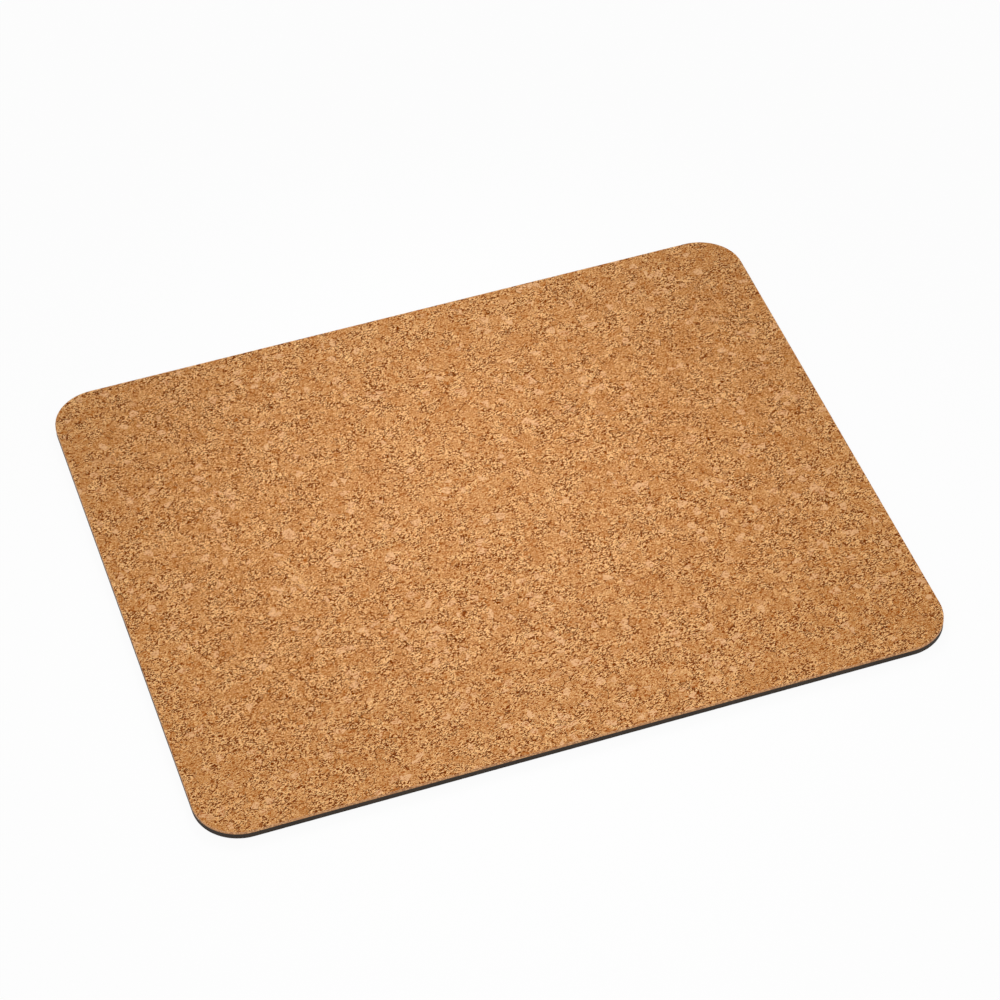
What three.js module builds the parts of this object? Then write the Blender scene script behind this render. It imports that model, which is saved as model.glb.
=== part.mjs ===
import * as THREE from 'three';

// Mouse pad: three layers bonded face to face and die-cut together, so all share one outline.
// Millimetres, +Z up, +X along the length. The origin is the centre of the underside.

const padLength = 240;
const padWidth = 200;
const cornerRadius = 15;

const baseThickness = 2;
const filmThickness = 0.1;
const corkThickness = 0.9;

// The rounding that handling leaves along the rim of the cork's top face.
const corkRimRound = 0.2;

const cornerSteps = 24;
const rimSteps = 3;
const cornersOfPad = [[1, 1], [-1, 1], [-1, -1], [1, -1]];
const quarterTurn = Math.PI / 2;

// The pad's outline drawn in by an inset, at one height: a counter-clockwise ring of points,
// made of the four corner arcs in turn, which the straight sides join.
function outlineRing(inset, height) {
  const radius = cornerRadius - inset;
  const arcCentreX = padLength / 2 - cornerRadius;
  const arcCentreY = padWidth / 2 - cornerRadius;
  const coordinates = [];
  cornersOfPad.forEach(([sideX, sideY], corner) => {
    for (let step = 0; step <= cornerSteps; step += 1) {
      const angle = (corner + step / cornerSteps) * quarterTurn;
      const x = sideX * arcCentreX + radius * Math.cos(angle);
      const y = sideY * arcCentreY + radius * Math.sin(angle);
      coordinates.push(x, y, height);
    }
  });
  return coordinates;
}

// A closed layer from the rings of its side wall, each an [inset, height] pair, lowest first.
// A fan of triangles from a centre point closes each flat face.
function layerGeometry(wallProfile) {
  const ringSize = cornersOfPad.length * (cornerSteps + 1);
  const lastRing = (wallProfile.length - 1) * ringSize;
  const bottomCentre = lastRing + ringSize;
  const topCentre = bottomCentre + 1;
  const positions = wallProfile.flatMap(([inset, height]) => outlineRing(inset, height));
  positions.push(0, 0, wallProfile.at(0)[1]);
  positions.push(0, 0, wallProfile.at(-1)[1]);

  const triangles = [];
  for (let point = 0; point < ringSize; point += 1) {
    const next = (point + 1) % ringSize;
    triangles.push(bottomCentre, next, point);
    for (let ring = 0; ring < lastRing; ring += ringSize) {
      const above = ring + ringSize;
      triangles.push(ring + point, ring + next, above + next);
      triangles.push(ring + point, above + next, above + point);
    }
    triangles.push(lastRing + point, lastRing + next, topCentre);
  }

  const indexed = new THREE.BufferGeometry();
  indexed.setAttribute('position', new THREE.Float32BufferAttribute(positions, 3));
  indexed.setIndex(triangles);
  const geometry = indexed.toNonIndexed();
  geometry.computeVertexNormals();
  return geometry;
}

// A wall cut square to both faces.
function squareWall(thickness) {
  return [[0, 0], [0, thickness]];
}

// A square wall whose last stretch turns over the rim of the top face in a quarter arc.
function roundedRimWall(thickness, rimRound) {
  const profile = [[0, 0]];
  for (let step = 0; step <= rimSteps; step += 1) {
    const angle = (step / rimSteps) * quarterTurn;
    const inset = rimRound * (1 - Math.cos(angle));
    const height = thickness - rimRound * (1 - Math.sin(angle));
    profile.push([inset, height]);
  }
  return profile;
}

function layer(name, wallProfile, seatHeight, material) {
  const mesh = new THREE.Mesh(layerGeometry(wallProfile), material);
  mesh.name = name;
  mesh.position.z = seatHeight;
  return mesh;
}

// Charcoal foam rubber that lies on the desk and keeps the pad from sliding.
function rubberBase() {
  const material = new THREE.MeshStandardMaterial({ color: 0x39352f, roughness: 0.9, metalness: 0 });
  return layer('rubber_base', squareWall(baseThickness), 0, material);
}

// Bonding film over the whole face of the base.
function adhesiveFilm() {
  const material = new THREE.MeshStandardMaterial({ color: 0xb59a6a, roughness: 0.5, metalness: 0 });
  return layer('adhesive_film', squareWall(filmThickness), baseThickness, material);
}

// Pressed cork granules: the face that the mouse runs on.
function corkSheet() {
  const material = new THREE.MeshStandardMaterial({ color: 0xc58a55, roughness: 0.85, metalness: 0 });
  const wallProfile = roundedRimWall(corkThickness, corkRimRound);
  return layer('cork_sheet', wallProfile, baseThickness + filmThickness, material);
}

const mousePad = new THREE.Group();
mousePad.add(rubberBase(), adhesiveFilm(), corkSheet());

export default mousePad;
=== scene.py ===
import math

import bmesh
import bpy
import numpy as np
from mathutils import Matrix, Vector
from mathutils.geometry import delaunay_2d_cdt


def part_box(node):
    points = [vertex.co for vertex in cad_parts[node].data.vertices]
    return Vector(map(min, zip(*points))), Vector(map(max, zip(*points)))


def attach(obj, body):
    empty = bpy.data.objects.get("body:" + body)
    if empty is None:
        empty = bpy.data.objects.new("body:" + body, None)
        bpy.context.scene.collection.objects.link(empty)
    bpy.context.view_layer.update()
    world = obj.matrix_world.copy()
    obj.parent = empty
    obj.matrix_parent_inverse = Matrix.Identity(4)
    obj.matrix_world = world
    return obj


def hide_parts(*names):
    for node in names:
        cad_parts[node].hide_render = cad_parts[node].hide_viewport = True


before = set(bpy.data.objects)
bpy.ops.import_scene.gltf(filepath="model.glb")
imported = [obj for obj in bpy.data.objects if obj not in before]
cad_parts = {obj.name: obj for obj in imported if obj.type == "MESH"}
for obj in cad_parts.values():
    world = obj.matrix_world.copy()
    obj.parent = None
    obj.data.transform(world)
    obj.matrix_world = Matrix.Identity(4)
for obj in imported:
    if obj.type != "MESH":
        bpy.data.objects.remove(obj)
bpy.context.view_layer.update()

mm = 0.001


# The view: the pad seen from the front, 45 degrees above the desk, its length turned a little.
# pad_from_lens is where the centre of the underside lies: right, down and away from the lens.

view_turn = math.radians(16.72)
view_elevation = math.radians(45.19)
view_roll = math.radians(-2.52)
pad_from_lens = Vector((-4.50, 6.73, 1163.65)) * mm
sensor_side = 36 * mm
lens_length = 3.6466 * sensor_side
nearest_seen = 10 * mm
farthest_seen = 20_000 * mm

to_lens_axes = (
    Matrix.Rotation(view_roll, 3, "Z")
    @ Matrix.Rotation(math.pi / 2 + view_elevation, 3, "X")
    @ Matrix.Rotation(view_turn, 3, "Z")
)
lens_place = -(to_lens_axes.transposed() @ pad_from_lens)
lens_axes = to_lens_axes.transposed() @ Matrix.Diagonal((1, -1, -1))

camera_data = bpy.data.cameras.new("camera")
camera_data.sensor_width = sensor_side / mm
camera_data.lens = lens_length / mm
camera_data.clip_start = nearest_seen
camera_data.clip_end = farthest_seen
camera = bpy.data.objects.new("camera", camera_data)
camera.matrix_world = Matrix.Translation(lens_place) @ lens_axes.to_4x4()
bpy.context.scene.collection.objects.link(camera)
bpy.context.scene.camera = camera


# The rubber base: a 2 mm sheet of charcoal foam rubber, stamped underneath with a shallow
# diamond waffle that grips the desk. A steel-rule die cuts it out in one stroke with the layers
# above it, which leaves an open-pored side.

base_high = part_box("rubber_base")[1]
pad_corner_radius = 15 * mm
stock_margin = 3 * mm
waffle_pitch = 3.2 * mm
waffle_slope = 0.5 * mm
waffle_depth = 0.16 * mm
base_die_columns = 1400
base_side_roughness = 0.02 * mm
base_side_hollow = 0.06 * mm
base_rim_round = 0.12 * mm
steepest_flat = 0.5
strip_width = 0.012
strip_margin = 0.1
glued_patch = 0.012
map_edge = 0.001


def mesh_piece(name, points, faces):
    """An object at the origin from an array of points and a list of faces."""
    mesh = bpy.data.meshes.new(name)
    mesh.from_pydata(points.tolist(), [], faces)
    piece = bpy.data.objects.new(name, mesh)
    bpy.context.scene.collection.objects.link(piece)
    return piece


def grid_faces(rows, columns, closed=False):
    """Quads between neighbours on a grid of rows x columns points. A closed grid joins its last
    column to its first."""
    row, column = np.meshgrid(np.arange(rows - 1), np.arange(columns - (not closed)), indexing="ij")
    beside = (column + 1) % columns
    above = row + 1
    corners = [row * columns + column, row * columns + beside,
               above * columns + beside, above * columns + column]
    return np.stack(corners, -1).reshape(-1, 4).tolist()


def outline_points(around, inset):
    """x and y on the pad's outline, drawn in by inset, at shares `around` (0 to 1) of its length.
    The outline is four straight sides and four quarter arcs. A share falls on one of these eight
    stretches: on an arc it turns about the corner's centre, on a side it stays square to it."""
    straight_x, straight_y = base_high.x - pad_corner_radius, base_high.y - pad_corner_radius
    arc = math.pi / 2 * pad_corner_radius
    stretches = np.array([2 * straight_y, arc, 2 * straight_x, arc] * 2)
    ends = np.cumsum(stretches)
    along = around * ends[-1]
    stretch = np.searchsorted(ends, along, side="right").clip(0, len(ends) - 1)
    share = (along - ends[stretch]) / stretches[stretch] + 1
    side, on_arc = stretch // 2, stretch % 2 == 1
    turn = (side + np.where(on_arc, share, 0)) * math.pi / 2
    out_x, out_y = np.cos(turn), np.sin(turn)
    to_corner = np.where(on_arc, 0, (1 - share) * stretches[stretch])
    radius = pad_corner_radius - inset
    x = np.array([1, -1, -1, 1])[side] * straight_x + radius * out_x + to_corner * out_y
    y = np.array([1, 1, -1, -1])[side] * straight_y + radius * out_y - to_corner * out_x
    return x, y


def die(name, heights, insets):
    """The space inside the cutting die: one ring round the outline for each height, drawn in by
    that row of insets, and a flat face at each end."""
    levels, columns = insets.shape
    x, y = outline_points(np.tile(np.arange(columns) / columns, (levels, 1)), insets)
    z = np.repeat(np.array(heights)[:, None], columns, 1)
    faces = grid_faces(levels, columns, closed=True)
    ring = np.arange(columns)
    faces += [ring[::-1].tolist(), (ring + (levels - 1) * columns).tolist()]
    return mesh_piece(name, np.stack([x, y, z], -1).reshape(-1, 3), faces)


def cut_out(stock, cutter):
    """Keeps the part of the stock that lies inside the cutter, and drops the cutter. A pair of
    faces that touches nothing but each other, a flap that the cut can leave behind, goes too."""
    stroke = stock.modifiers.new("die_stroke", "BOOLEAN")
    stroke.operation = "INTERSECT"
    stroke.solver = "MANIFOLD"
    stroke.object = cutter
    blank = stock.data
    seen = stock.evaluated_get(bpy.context.evaluated_depsgraph_get())
    stock.data = bpy.data.meshes.new_from_object(seen)
    stock.data.materials.clear()
    stock.modifiers.clear()
    bpy.data.meshes.remove(blank)
    bpy.data.meshes.remove(cutter.data)
    stock.data.name = stock.name
    graph = bmesh.new()
    graph.from_mesh(stock.data)
    flaps = [
        face for face in graph.faces
        if len({near for edge in face.edges for near in edge.link_faces}) == 2
    ]
    bmesh.ops.delete(graph, geom=flaps, context="FACES")
    graph.to_mesh(stock.data)
    graph.free()


def lay_flat(piece, shown):
    """Gives the piece the UV map OFBake, laid out for its colours. Faces that look up (shown = 1) or
    down (-1) keep x and y, stretched over most of the square. Those that look sideways make four
    strips under them, one for each side of the pad, with the distance along it and the height.
    Those that are glued over, on the far side, share a small patch beside the strips."""
    mesh = piece.data
    count, loops = len(mesh.polygons), len(mesh.loops)
    normals, starts = np.empty(3 * count), np.empty(count, int)
    places, corners = np.empty(3 * len(mesh.vertices)), np.empty(loops, int)
    mesh.polygons.foreach_get("normal", normals)
    mesh.polygons.foreach_get("loop_start", starts)
    mesh.vertices.foreach_get("co", places)
    mesh.loops.foreach_get("vertex_index", corners)
    face = np.searchsorted(starts, np.arange(loops), side="right") - 1
    out_x, out_y, out_z = normals.reshape(-1, 3)[face].T
    x, y, z = places.reshape(-1, 3)[corners].T
    across, along = shown * x / base_high.x / 2 + 0.5, y / base_high.y / 2 + 0.5
    height = (z - z.min()) / np.ptp(z)
    long_side = abs(out_y) > abs(out_x)
    strip = np.where(long_side, 2 + (out_y > 0), out_x > 0)
    flat, glued = shown * out_z > steepest_flat, shown * out_z < -steepest_flat
    u = np.select([flat, glued, long_side], [across, 1 - across * glued_patch, across], along)
    in_strip = (strip + strip_margin + (1 - 2 * strip_margin) * height) * strip_width
    above_strips = 1 - (1 - along) * (1 - 4 * strip_width)
    v = np.select([flat, glued], [above_strips, along * glued_patch], in_strip)
    places_flat = np.stack([u, v], 1) * (1 - 2 * map_edge) + map_edge
    mesh.uv_layers.new(name="OFBake").data.foreach_set("uv", places_flat.ravel())


def waffle_stock():
    """The foam sheet before it is cut: flat on top, and below a grid whose lines run along the
    diagonals, at the bottom and both brinks of each V groove. Its height is the groove's depth
    times (1 - a * b), where a and b are 0 in a groove and 1 on a stud, along the two diagonals."""
    reach = base_high.x + base_high.y + 2 * stock_margin
    periods = math.ceil(reach / math.sqrt(2) / waffle_pitch)
    starts = (np.arange(-periods, periods) * waffle_pitch)[:, None]
    lines = (starts + [0, waffle_slope, waffle_pitch - waffle_slope]).ravel()
    on_stud = np.tile([0, 1, 1], len(starts))
    count = len(lines)
    u, v = np.meshgrid(lines, lines)
    hollow = waffle_depth * (1 - np.outer(on_stud, on_stud))
    x, y = (u - v) / math.sqrt(2), (u + v) / math.sqrt(2)
    points = np.stack([x, y, hollow], -1).reshape(-1, 3)
    rim = np.r_[np.arange(count), np.arange(1, count) * count + count - 1,
                (count - 1) * count + np.arange(count - 2, -1, -1),
                np.arange(count - 2, 0, -1) * count]
    top = points[rim] * [1, 1, 0] + [0, 0, base_high.z + stock_margin]
    top_ring = np.arange(len(rim)) + len(points)
    sides = np.stack([rim, np.roll(rim, -1), np.roll(top_ring, -1), top_ring], 1)
    faces = [face[::-1] for face in grid_faces(count, count)] + sides.tolist() + [top_ring.tolist()]
    return mesh_piece("foam_rubber_base", np.concatenate([points, top]), faces)


chance = np.random.default_rng(5)
base_levels_share = np.array([0, 0.06, 0.2, 0.5, 0.8, 1])
base_insets = chance.uniform(0, base_side_roughness, (len(base_levels_share), base_die_columns))
base_insets += base_side_hollow * np.sin(math.pi * base_levels_share)[:, None]
base_insets[0] += base_rim_round
foam_base = waffle_stock()
cut_out(foam_base, die("base_die", base_high.z * base_levels_share, base_insets))


layer_step = 23 * mm


class Wire:
    """A socket in a material's nodes. Sums with numbers and other wires add Math nodes."""

    def __init__(self, tree, socket):
        self.tree = tree
        self.socket = socket

    def node(self, kind, settings=None, sockets=None, output=0):
        """Adds a node of this kind, gives it its settings and then the value or wire of each
        named socket, and returns one of its outputs."""
        made = self.tree.nodes.new("ShaderNode" + kind)
        for name, value in (settings or {}).items():
            setattr(made, name, value)
        for name, value in (sockets or {}).items():
            if isinstance(value, Wire):
                self.tree.links.new(value.socket, made.inputs[name])
            else:
                made.inputs[name].default_value = value
        return Wire(self.tree, made.outputs[output])

    def sum(self, operation, first, second):
        """A Math node of two numbers or wires."""
        return self.node("Math", {"operation": operation}, {0: first, 1: second})

    def __add__(self, other):
        return self.sum("ADD", self, other)

    def __radd__(self, other):
        return self.sum("ADD", other, self)

    def __sub__(self, other):
        return self.sum("SUBTRACT", self, other)

    def __rsub__(self, other):
        return self.sum("SUBTRACT", other, self)

    def __mul__(self, other):
        return self.sum("MULTIPLY", self, other)

    def __rmul__(self, other):
        return self.sum("MULTIPLY", other, self)

    def most(self, *others):
        """The largest of several wires."""
        wire = self
        for other in others:
            wire = wire.sum("MAXIMUM", wire, other)
        return wire

    def off(self, level):
        """How far the value is from a level, above or below it."""
        gap = self - level
        return gap.most(-1 * gap)

    def rise(self, low, high):
        """0 below low and 1 above high, with a smooth rise between. high < low makes a fall."""
        span = {"From Min": low, "From Max": high}
        return self.node("MapRange", {"interpolation_type": "SMOOTHSTEP"}, {"Value": self, **span})

    def mix(self, plain, marked):
        """The plain colour where this wire is 0 and the marked colour where it is 1. The node's
        colours are its sockets 6 and 7, and come out of its output 2."""
        sides = {"Factor": self, 6: plain, 7: marked}
        return self.node("Mix", {"data_type": "RGBA"}, sides, output=2)

    def ramp(self, *stops):
        """A colour between evenly spaced stops, the first where this wire is 0, the last at 1."""
        made = self.node("ValToRGB", {}, {0: self})
        bar = made.socket.node.color_ramp.elements
        for _ in stops[2:]:
            bar.new(0.5)
        for number, stop in enumerate(stops):
            bar[number].position = number / (len(stops) - 1)
            bar[number].color = stop
        return made

    def moved(self, shift):
        return self.node("VectorMath", {"operation": "ADD"}, {0: self, 1: shift})

    def layer(self, number):
        """The same place in another layer of the solid noises, so that two patterns don't match."""
        return self.moved((0, 0, number * layer_step))

    def turned(self, angle):
        return self.node("VectorRotate", {"rotation_type": "Z_AXIS"}, {"Vector": self, "Angle": angle})

    def scaled(self, share):
        """A vector times a number, or times a vector axis by axis."""
        return self.node("VectorMath", {"operation": "MULTIPLY"}, {0: self, 1: share})

    def noise(self, size, detail=2.0, roughness=0.5):
        """Soft noise, 0 to 1 and mostly near a half, whose lumps are about this size."""
        inputs = {"Vector": self, "Scale": 1 / size, "Detail": detail, "Roughness": roughness}
        return self.node("TexNoise", {}, inputs)

    def cells(self, size, feature="F1"):
        """Random cells of about this size: the distance to a cell's seed or edge, as a share of
        the size."""
        inputs = {"Vector": self, "Scale": 1 / size}
        return self.node("TexVoronoi", {"feature": feature}, inputs, "Distance")


def paint(red, green, blue):
    """A colour as it is seen on a screen, 0 to 255, as the shader's linear colour."""
    seen = np.array([red, green, blue]) / 255
    linear = np.where(seen <= 0.04045, seen / 12.92, ((seen + 0.055) / 1.055) ** 2.4)
    return (*linear, 1)


def new_material(name):
    """A material with an empty Principled shader, and the wire of the object's coordinates."""
    material = bpy.data.materials.new(name)
    material.use_nodes = True
    tree = material.node_tree
    coordinates = tree.nodes.new("ShaderNodeTexCoord")
    return material, tree.nodes["Principled BSDF"], Wire(tree, coordinates.outputs["Object"])


def feed(shader, **wires):
    """Joins wires to the shader's sockets, whose names have _ for each space."""
    for name, wire in wires.items():
        wire.tree.links.new(wire.socket, shader.inputs[name.replace("_", " ")])


foam_black = paint(47, 37, 29)
foam_grey = paint(66, 53, 42)
foam_pore = paint(20, 18, 17)
foam_cloud_size = 9 * mm
foam_speckle_size = 0.21 * mm
foam_grey_span = (0.35, 0.7)
foam_pore_size = 0.42 * mm
foam_pore_span = (0.42, 0.15)
foam_pore_patch = 1.1 * mm
foam_pore_patch_span = (0.42, 0.6)
foam_side_span = (1.5 * waffle_depth, 1.1 * waffle_depth)
# How far the waffle grooves are darkened toward the pore colour: painted shade.
groove_painted_shade = 0.8
foam_roughness = 0.66
foam_speckle_roughness = 0.2
groove_roughness = 0.12
foam_bump = 0.05 * mm
foam_speckle_height = 0.4
foam_specular = 0.3


def foam_rubber_material():
    """Charcoal foam: soft lighter clouds, dark open pores, and waffle grooves, told by their height
    above the desk, which are rougher and darkened with painted shade. The cut side starts where the
    grooves end."""
    material, shader, place = new_material("charcoal_foam")
    clouds = place.noise(foam_cloud_size, detail=4.0)
    speckle = place.noise(foam_speckle_size, detail=1.0)
    above_desk = place.node("SeparateXYZ", {}, {0: place}, output=2)
    groove = above_desk.rise(0, waffle_depth) * above_desk.rise(*foam_side_span)
    in_patch = place.noise(foam_pore_patch).rise(*foam_pore_patch_span)
    pores = place.cells(foam_pore_size).rise(*foam_pore_span) * in_patch
    tone = (clouds * 0.5 + speckle * 0.5).rise(*foam_grey_span).mix(foam_black, foam_grey)
    # The grooves are darkened toward the pore colour: painted shade.
    colour = pores.most(groove * groove_painted_shade).mix(tone, foam_pore)
    roughness = foam_roughness + foam_speckle_roughness * speckle + groove_roughness * groove
    height = speckle * foam_speckle_height - pores
    normal = height.node("Bump", {}, {"Height": height, "Distance": foam_bump})
    feed(shader, Base_Color=colour, Roughness=roughness, Normal=normal)
    shader.inputs["Specular IOR Level"].default_value = foam_specular
    return material


lay_flat(foam_base, shown=-1)
foam_base.data.materials.append(foam_rubber_material())
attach(foam_base, "root")
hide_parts("rubber_base")


# The adhesive film: 0.1 mm of amber bonding adhesive over the whole base. It keeps its own solid,
# of which only a hairline shows between the cut sides of the cork and the foam.

film_amber = paint(150, 104, 60)
film_brown = paint(112, 76, 44)
cork_dust_size = 0.8 * mm
cork_dust_span = (0.4, 0.65)
film_roughness = 0.4
cork_dust_roughness = 0.3


def adhesive_material():
    """Amber adhesive, with browner streaks where cork dust has stuck to it."""
    material, shader, place = new_material("bonding_film")
    dust = place.noise(cork_dust_size, detail=3.0)
    colour = dust.rise(*cork_dust_span).mix(film_amber, film_brown)
    feed(shader, Base_Color=colour, Roughness=film_roughness + cork_dust_roughness * dust)
    return material


adhesive_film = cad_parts["adhesive_film"]
adhesive_film.data.materials.clear()
adhesive_film.data.materials.append(adhesive_material())


# The cork sheet: 0.9 mm sliced from a block of cork granules, which were pressed together with a
# binder. The granules' cut faces make a nearly flat top, with crevices where they don't meet, dark
# partly from the binder and partly from painted shade.

cork_low, cork_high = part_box("cork_sheet")
granule_pitch = 2.15 * mm
granule_scatter = 0.7
seed_margin = 3 * granule_pitch
granule_bevel = 0.19 * mm
granule_bevel_share = 0.45
shortest_seam = 0.3 * mm
merge_rounds = 6
face_drop = 0.016 * mm
face_lift = 0.014 * mm
face_tilt = 0.014
crevice_depth = 0.13 * mm
crevice_share = 0.33
crevice_excess = 1.25
cork_die_columns = 1700
cork_side_roughness = 0.03 * mm
cork_rim_round = 0.15 * mm


def granule_seams():
    """Lays out the granules as the cells round scattered seeds. Seeds are a jittered grid, and a
    Delaunay net joins the neighbours: three seeds meet at the centre of their circle, which is a
    corner of their three granules. Corners nearer than shortest_seam become one, at their mean,
    in a few rounds that carry the least number along a chain of them. Returns the seams' corner
    points and, granule by granule and counter-clockwise, each granule's number and corner."""
    half = np.array([cork_high.x, cork_high.y]) + stock_margin
    field = half + seed_margin
    count = np.ceil(2 * field / granule_pitch).astype(int)
    steps = [(np.arange(n) + 0.5) / n * 2 - 1 for n in count]
    seeds = np.stack(np.meshgrid(*steps), -1).reshape(-1, 2) * field
    seeds += chance.uniform(-granule_scatter, granule_scatter, seeds.shape) * granule_pitch
    net = delaunay_2d_cdt([Vector(seed) for seed in seeds], [], [], 0, 0)
    seeds, triangles = np.array([tuple(seed) for seed in net[0]]), np.array(net[2])

    first, second, third = seeds[triangles].transpose(1, 0, 2)
    a, b = second - first, third - first
    cross = 2 * (a[:, 0] * b[:, 1] - a[:, 1] * b[:, 0])
    a_square, b_square = (a ** 2).sum(1), (b ** 2).sum(1)
    to_meeting = [b[:, 1] * a_square - a[:, 1] * b_square, a[:, 0] * b_square - b[:, 0] * a_square]
    meeting = first + np.stack(to_meeting, 1) / cross[:, None]

    ends = np.sort(np.stack([triangles, np.roll(triangles, -1, 1)], -1).reshape(-1, 2), 1)
    seam_number = ends[:, 0] * len(seeds) + ends[:, 1]
    order = np.argsort(seam_number, kind="stable")
    twin = np.flatnonzero(np.diff(seam_number[order]) == 0)
    one, other = order[twin] // 3, order[twin + 1] // 3
    inside = (abs(meeting) < half).all(1)
    short = np.hypot(*(meeting[one] - meeting[other]).T) < shortest_seam
    short &= inside[one] & inside[other]
    corner_of = np.arange(len(triangles))
    for _ in range(merge_rounds):
        least = np.minimum(corner_of[one[short]], corner_of[other[short]])
        np.minimum.at(corner_of, one[short], least)
        np.minimum.at(corner_of, other[short], least)
    joined = np.maximum(np.bincount(corner_of, minlength=len(triangles)), 1)
    points = [np.bincount(corner_of, axis, len(triangles)) / joined for axis in meeting.T]

    granule, triangle = triangles.ravel(), np.repeat(np.arange(len(triangles)), 3)
    kept = (abs(seeds) < half).all(1)[granule]
    granule, triangle = granule[kept], triangle[kept]
    away = meeting[triangle] - seeds[granule]
    order = np.lexsort((np.arctan2(away[:, 1], away[:, 0]), granule))
    granule, corner = granule[order], corner_of[triangle[order]]
    fresh = corner != corner[neighbours(granule)[0]]
    return np.stack(points, 1), granule[fresh], corner[fresh]


def neighbours(granule):
    """For each corner of the granules in turn, the places of the corners before and after it
    round the same granule."""
    starts = np.flatnonzero(np.diff(granule, prepend=-1))
    ends = np.r_[starts[1:], len(granule)] - 1
    before, after = np.arange(len(granule)) - 1, np.arange(len(granule)) + 1
    before[starts], after[ends] = ends, starts
    return before, after


def granule_stock():
    """The cork sheet before it is cut. Each granule is a flat face on a slant of its own, whose
    corners lie a bevel's width inside the seam, towards the granule's middle. The bevels run down
    to the seam's corners, which lie at the mean height of the faces there or, in a crevice, below
    it. A wall and a flat face close the stock below. Each granule's shade, kind and lean, drawn by
    chance, go with its faces, which are also marked as sliced and not cut by the die."""
    points, granule, corner = granule_seams()
    used, seam = np.unique(corner, return_inverse=True)
    seam_points = points[used]
    before, after = neighbours(granule)
    starts = np.flatnonzero(before > np.arange(len(granule)) - 1)
    granule = np.cumsum(np.diff(granule, prepend=-1) > 0) - 1
    sides = np.bincount(granule)
    rim = seam_points[seam]
    middle = np.stack([np.bincount(granule, axis) / sides for axis in rim.T], 1)[granule]
    reach = np.hypot(*(rim - middle).T)
    drawn_in = np.minimum(granule_bevel / reach, granule_bevel_share)[:, None]
    face = rim + (middle - rim) * drawn_in

    lift = chance.uniform(-face_lift, face_lift / 2, len(sides))[granule]
    slant = chance.normal(0, face_tilt, (len(sides), 2))[granule]
    face_level = cork_high.z - face_drop
    face_z = face_level + np.minimum(lift + ((face - middle) * slant).sum(1), face_lift)
    closed = (chance.uniform(0, 1, len(used)) / crevice_share).clip(0, 1)
    opening = (crevice_excess * (1 - closed)).clip(0, 1)
    seam_z = np.bincount(seam, face_z) / np.bincount(seam) - crevice_depth * opening

    seam_count, corner_count = len(used), len(granule)
    here = np.arange(corner_count)
    face_corner = seam_count + here
    bevels = np.stack([seam, seam[after], seam_count + after, face_corner], 1)
    forth, back = seam * seam_count + seam[after], seam[after] * seam_count + seam
    open_side = ~np.isin(forth, back)
    wall_start, wall_end = seam[open_side], seam[after][open_side]
    low = np.full(seam_count, -1)
    low[wall_start] = seam_count + corner_count + np.arange(len(wall_start))
    walls = np.stack([low[wall_start], low[wall_end], wall_end, wall_start], 1)
    floor_level = cork_low.z - stock_margin
    all_points = np.concatenate([
        np.c_[seam_points, seam_z],
        np.c_[face, face_z],
        np.c_[seam_points[wall_start], np.full(len(wall_start), floor_level)],
    ])
    faces = [side.tolist() for side in np.split(face_corner, starts[1:])]
    stock = mesh_piece("granulated_cork_sheet", all_points, faces + bevels.tolist() + walls.tolist())
    cap = bmesh.new()
    cap.from_mesh(stock.data)
    bmesh.ops.holes_fill(cap, edges=[edge for edge in cap.edges if edge.is_boundary], sides=0)
    cap.to_mesh(stock.data)
    cap.free()

    crevice = np.zeros(len(all_points))
    crevice[:seam_count] = opening
    stock.data.attributes.new("crevice", "FLOAT", "POINT").data.foreach_set("value", crevice)
    draws = {"shade": chance.uniform(0, 1, len(sides)), "kind": chance.uniform(0, 1, len(sides)),
             "lean": chance.uniform(-1, 1, len(sides)), "sliced": np.ones(len(sides))}
    for quality, drawn in draws.items():
        value = np.zeros(len(stock.data.polygons))
        value[:len(sides) + corner_count] = np.r_[drawn, drawn[granule]]
        stock.data.attributes.new(quality, "FLOAT", "FACE").data.foreach_set("value", value)
    return stock


cork_levels_share = np.array([0, 0.3, 0.6, 0.84, 0.94, 1.04])
cork_rim_share = np.array([0, 0, 0, 0, 0.3, 1])
cork_insets = abs(chance.normal(0, cork_side_roughness, (len(cork_levels_share), cork_die_columns)))
cork_insets[0] = 0
cork_insets += cork_rim_round * cork_rim_share[:, None]
cork_thickness = cork_high.z - cork_low.z
cork_sheet = granule_stock()
cut_out(cork_sheet, die("cork_die", cork_low.z + cork_thickness * cork_levels_share, cork_insets))


cork_pale = paint(253, 200, 137)
# The colour of the pale rims round the marks: a painted highlight.
cork_painted_highlight = paint(255, 205, 137)
cork_tan = paint(198, 117, 34)
cork_rose = paint(247, 186, 134)
cork_calm = paint(172, 149, 104)
cork_brown = paint(152, 78, 0)
cork_rust = paint(166, 85, 0)
cork_dark = paint(124, 54, 0)
# The paler colour given to the faces cut by the die.
cork_die_cut_pale = paint(236, 181, 136)
cork_bump = 0.18 * mm
cork_specular = 0.06
face_roughness = 0.32
pit_roughness = 0.92
slicing_angle = math.radians(17)
granule_lean = 0.8
granule_stretch = (0.78, 1.6, 1)
granule_apart = 97 * mm
crumb_size = 1.0 * mm
bend_size = 0.7 * mm
bend_reach = 0.6 * mm
growth_size = 0.9 * mm
growth_stretch = (0.35, 2.4, 1)
dash_size = 1.0 * mm
curl_size = 1.3 * mm
patch_size = 0.8 * mm
fleck_size = 0.7 * mm
grit_size = 0.32 * mm
cloud_size = 14 * mm
crowd_size = 5.4 * mm
ripple_layer, curl_layer, fleck_layer, crowd_layer = 4, 5, 6, 7

# Which granules are plain, rosy or striped, by their draws from 0 to 1, and how busy one is with
# marks. The two numbers of a span, here and below, are where a rise starts and where it ends.
half_way = 0.5
plain_kinds = (1.0, 0.5)
rosy_kinds = (0.94, 0.96)
striped_shades = (0.4, 0.9)
crowd_span = (0.36, 0.6)
least_crowd = 0.25
least_busy = 0.3
usual_busy = 0.8
calm_below_busy = 1.2
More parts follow.
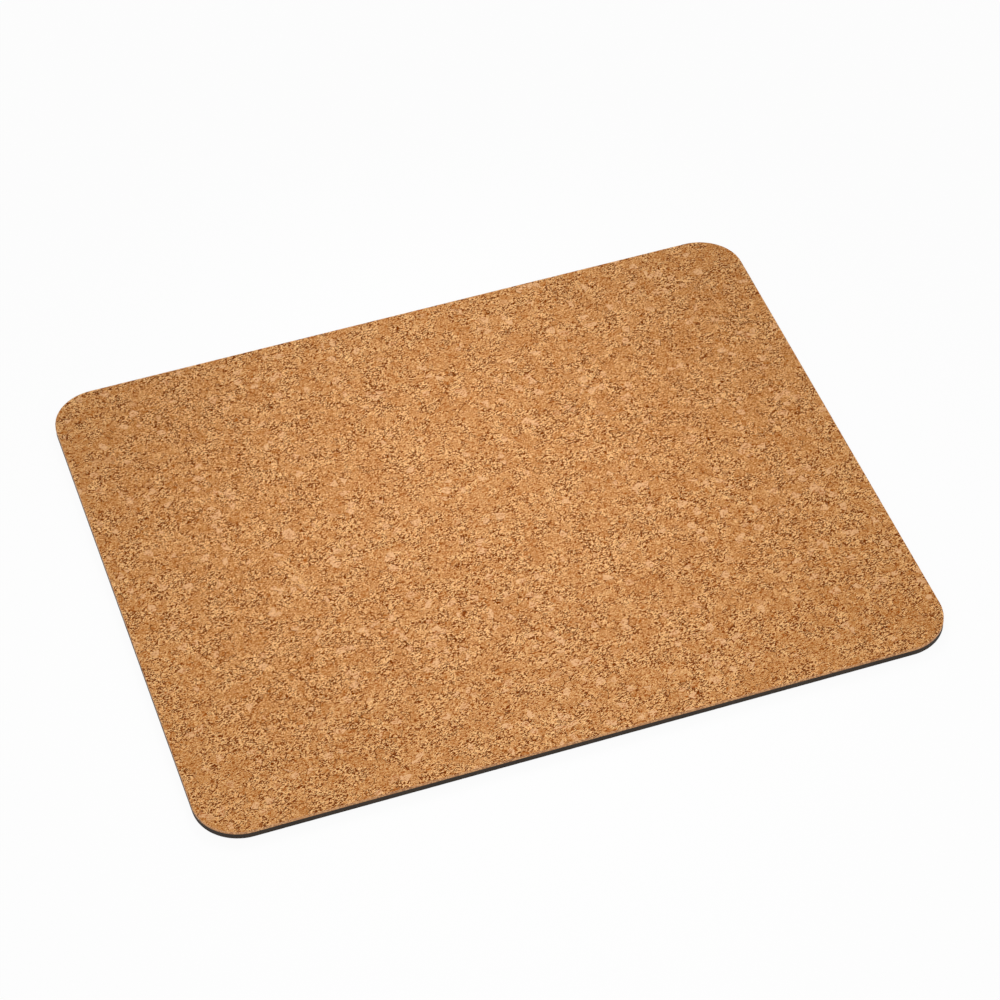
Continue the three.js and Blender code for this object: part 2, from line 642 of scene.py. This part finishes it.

# The marks. Edges are multiples of a mark's reach, and the pale rims round the marks are painted
# highlights. patch_spans gives the layer and the span of the patches that bear seams, dashes and
# curls.
core_edges = np.array([2.2, 1.1])
highlight_inner_edges = np.array([2.3, 2.9])
highlight_outer_edges = np.array([4.4, 3.2])
seam_reach = 0.11
dash_reach = 0.045
curl_reach = 0.08
curl_ring = 0.3
patch_spans = {1: (0.56, 0.64), 2: (0.57, 0.65), 3: (0.56, 0.64)}
patch_crowding = 0.03
crevice_span = (0.3, 0.85)
fleck_span = (0.42, 0.2)

# The weight of each pattern in the tone, and how far each colour covers those before it.
shade_weight = 0.1
growth_weight = 0.9
cloud_weight = 0.15
grit_weight = 2.6
busy_weight = 0.3
tone_middle = 0.615
tone_span = (-0.1, 1.1)
rosy_share = 0.85
calm_share = 0.3
fleck_share = 0.8
rust_span = (0.0, 0.4)
dark_span = (0.3, 0.8)
die_cut_pale_share = 0.5

# The height of each pattern, as a share of cork_bump.
grit_height = 0.5
growth_height = 0.25
mark_height = -0.8
fleck_height = 0.3
highlight_height = 0.2


def mark(distance, reach, where):
    """The dark core of a spot or line, and the pale rim round it, which is a painted highlight, both
    kept to where that wire is 1. The core fades out between its edges. The rim rises between its
    inner edges and falls between its outer ones. All edges are multiples of reach."""
    core = distance.rise(*reach * core_edges) * where
    rim = distance.rise(*reach * highlight_inner_edges) * distance.rise(*reach * highlight_outer_edges) * where
    return core, rim


def cork_material():
    """Cork granules by layers of marks: a tone for each granule, its growth lines, the thin broken
    seams of its crumbs, dashes and curls with painted highlights round them, pale flecks, and the
    crevices between granules, dark partly from the binder and partly from painted shade. Some
    kinds and crowds of granules are busy with marks, and the others are calmer in colour. The
    grain lies along the slicing direction, and each granule has a lean and a part of the pattern
    of its own."""
    material, shader, place = new_material("pressed_cork")
    shade, kind, lean, crevice, sliced = (
        place.node("Attribute", {"attribute_name": name}, output="Fac")
        for name in ("shade", "kind", "lean", "crevice", "sliced")
    )

    apart = shade.node("CombineXYZ", {}, {0: shade, 1: kind, 2: lean}).scaled((granule_apart,) * 3)
    own = place.turned(-slicing_angle).scaled(granule_stretch).moved(apart)
    bend = own.node("TexNoise", {}, {"Vector": own, "Scale": 1 / bend_size}, "Color")
    bent = own.moved(bend.scaled((bend_reach,) * 3))
    leaning = bent.turned(lean * granule_lean)
    growth = leaning.scaled(growth_stretch).noise(growth_size)

    crowd = place.layer(crowd_layer).noise(crowd_size, detail=2.0).rise(*crowd_span)
    busy = kind.rise(*plain_kinds) * (least_crowd + (1 - least_crowd) * crowd) + least_busy
    seam_patches, dash_patches, curl_patches = (
        (own.layer(number).noise(patch_size, detail=1.0) + patch_crowding * crowd).rise(*span) * busy
        for number, span in patch_spans.items()
    )
    crumb_edge = bent.cells(crumb_size, "DISTANCE_TO_EDGE")
    ripple = own.layer(ripple_layer).noise(dash_size, detail=0.0)
    curl_seed = own.layer(curl_layer).cells(curl_size)
    seams, seam_highlights = mark(crumb_edge, seam_reach, seam_patches)
    dashes, dash_highlights = mark(ripple.off(half_way), dash_reach, dash_patches)
    curls, curl_highlights = mark(curl_seed.off(curl_ring), curl_reach, curl_patches)
    # The crevices darken with their depth: partly the binder's dark, partly painted shade.
    marks = seams.most(dashes, curls, crevice.rise(*crevice_span))
    painted_highlights = seam_highlights.most(dash_highlights, curl_highlights)

    flecks = own.layer(fleck_layer).cells(fleck_size).rise(*fleck_span)
    grit = own.noise(grit_size, detail=1.0, roughness=0.6)
    clouds = place.noise(cloud_size, detail=3.0)
    striped = shade.rise(*striped_shades)
    tone = shade_weight * (shade - half_way) + growth_weight * striped * (growth - half_way)
    tone = tone + cloud_weight * (clouds - half_way) + grit_weight * busy * (grit - half_way)
    tone = tone + busy_weight * (busy - usual_busy)

    colour = (tone + tone_middle).rise(*tone_span).ramp(cork_brown, cork_tan, cork_pale)
    colour = (kind.rise(*rosy_kinds) * rosy_share).mix(colour, cork_rose)
    colour = ((calm_below_busy - busy) * calm_share).mix(colour, cork_calm)
    colour = (flecks * fleck_share).mix(colour, cork_pale)
    # The pale rims round the marks are a painted highlight.
    colour = painted_highlights.mix(colour, cork_painted_highlight)
    colour = marks.rise(*rust_span).mix(colour, cork_rust)
    colour = marks.rise(*dark_span).mix(colour, cork_dark)
    # The faces cut by the die, which are not sliced, are made paler.
    colour = ((1 - sliced) * die_cut_pale_share).mix(colour, cork_die_cut_pale)
    height = grit_height * grit + growth_height * growth + mark_height * marks
    # The painted highlight rims are also raised a little in the bump.
    height = height + fleck_height * flecks + highlight_height * painted_highlights
    normal = height.node("Bump", {}, {"Height": height, "Distance": cork_bump})
    roughness = face_roughness + (pit_roughness - face_roughness) * marks
    feed(shader, Base_Color=colour, Roughness=roughness, Normal=normal)
    shader.inputs["Specular IOR Level"].default_value = cork_specular
    return material


lay_flat(cork_sheet, shown=1)
cork_sheet.data.materials.append(cork_material())
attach(cork_sheet, "root")
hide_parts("cork_sheet")


# The surroundings: a white floor, a softbox behind and above the pad, and even white light from
# all round. The pad covers an opening in the floor, through which its underside is lit and can be
# looked at from below.

floor_drop = 0.02 * mm
floor_cover = 1 * mm
floor_columns = 400
floor_growth = 32
floor_grey = paint(236, 236, 236)
floor_roughness = 0.9
floor_white_share = 0.93
white = (1, 1, 1, 1)
softbox_side = 146 * mm
softbox_spread = math.radians(58.5)
softbox_place = Vector((67 * mm, 265 * mm, 250 * mm))
softbox_aim = Vector((-25 * mm, -100 * mm, 0))
softbox_power = 0.1235
room_light = 0.764

opening = np.stack(outline_points(np.arange(floor_columns) / floor_columns, floor_cover), -1)
floor_rings = np.concatenate([opening * floor_growth, opening])
floor_points = np.c_[floor_rings, np.full(len(floor_rings), -floor_drop)]
floor = mesh_piece("floor", floor_points, grid_faces(2, floor_columns, closed=True))
floor_material = bpy.data.materials.new("floor_white")
floor_material.use_nodes = True
floor.data.materials.append(floor_material)


def seen_by_eye(tree):
    """1 for camera, glossy and see-through rays, which meet plain white, and 0 for the rest."""
    rays = tree.nodes.new("ShaderNodeLightPath")
    camera_ray, glossy_ray, see_through_ray = (
        Wire(tree, rays.outputs[f"Is {kind} Ray"]) for kind in ("Camera", "Glossy", "Transmission")
    )
    return camera_ray.most(glossy_ray, see_through_ray)


tree = floor_material.node_tree
floor_shader = tree.nodes["Principled BSDF"]
floor_shader.inputs["Base Color"].default_value = floor_grey
floor_shader.inputs["Roughness"].default_value = floor_roughness
floor_itself = Wire(tree, floor_shader.outputs[0])
eye = seen_by_eye(tree)
glow = eye.node("Emission", {}, {"Color": white, "Strength": 1.0})
shown = eye.node("MixShader", {}, {0: eye * floor_white_share, 1: floor_itself, 2: glow})
tree.links.new(shown.socket, tree.nodes["Material Output"].inputs["Surface"])

world = bpy.data.worlds.new("room")
bpy.context.scene.world = world
world.use_nodes = True
tree = world.node_tree
eye = seen_by_eye(tree)
level = eye * (1 - room_light) + room_light
tree.nodes["Background"].inputs["Color"].default_value = white
tree.links.new(level.socket, tree.nodes["Background"].inputs["Strength"])

softbox_data = bpy.data.lights.new("softbox", "AREA")
softbox_data.shape = "SQUARE"
softbox_data.size = softbox_side
softbox_data.spread = softbox_spread
softbox_data.energy = softbox_power
softbox = bpy.data.objects.new("softbox", softbox_data)
softbox.location = softbox_place
softbox.rotation_mode = "QUATERNION"
softbox.rotation_quaternion = (softbox_aim - softbox_place).to_track_quat("-Z", "Y")
softbox.visible_camera = False
bpy.context.scene.collection.objects.link(softbox)

bpy.context.scene.view_settings.view_transform = "Standard"
